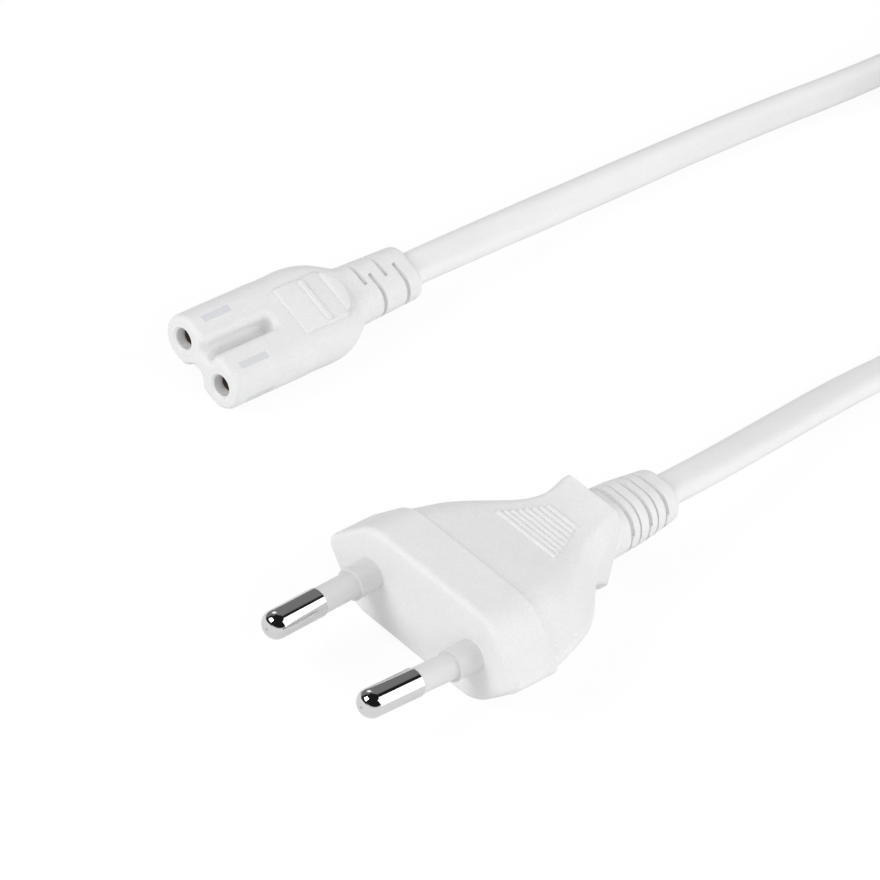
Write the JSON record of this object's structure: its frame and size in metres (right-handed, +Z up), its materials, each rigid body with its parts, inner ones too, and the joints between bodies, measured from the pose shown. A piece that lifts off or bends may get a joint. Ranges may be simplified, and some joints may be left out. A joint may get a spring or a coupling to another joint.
{
  "type": "figure eight power connector",
  "caption": "White mains lead: figure-eight appliance connector with slotted bend relief, flat cord and flat pin plug.",
  "frame": {"origin": "on the surface that the lead lies on, below the middle of the connector", "axes": "+X from the connector's sockets towards its cord, +Z up"},
  "size_m": [0.2366, 0.0816, 0.0137],
  "materials": {
    "moulded_white": "finely grained white moulding",
    "insert_white": "harder, slightly cooler white insert",
    "sleeve_white": "smooth white pin sleeve",
    "plated_pin": "bright nickel plating",
    "contact_brass": "stamped spring brass",
    "cord_jacket": "smooth soft white jacket",
    "tie_band": "flat white band",
    "core_brown": "brown core insulation",
    "core_blue": "blue core insulation",
    "copper_strands": "bare copper strands"
  },
  "bodies": {
    "root": {"connector_housing": "moulded_white", "plug_housing": "moulded_white", "connector_carrier": "insert_white", "plug_bridge": "insert_white", "pin_sleeve_left": "sleeve_white", "pin_sleeve_right": "sleeve_white", "pin_left": "plated_pin", "pin_right": "plated_pin", "contact_left": "contact_brass", "contact_right": "contact_brass", "cord_connector_run": "cord_jacket", "cord_plug_run": "cord_jacket", "cord_coil": "cord_jacket", "cord_tie": "tie_band", "connector_core_left": "core_brown", "connector_strands_left": "copper_strands", "connector_core_right": "core_blue", "connector_strands_right": "copper_strands", "plug_core_left": "core_brown", "plug_strands_left": "copper_strands", "plug_core_right": "core_blue", "plug_strands_right": "copper_strands"}
  },
  "joints": []
}
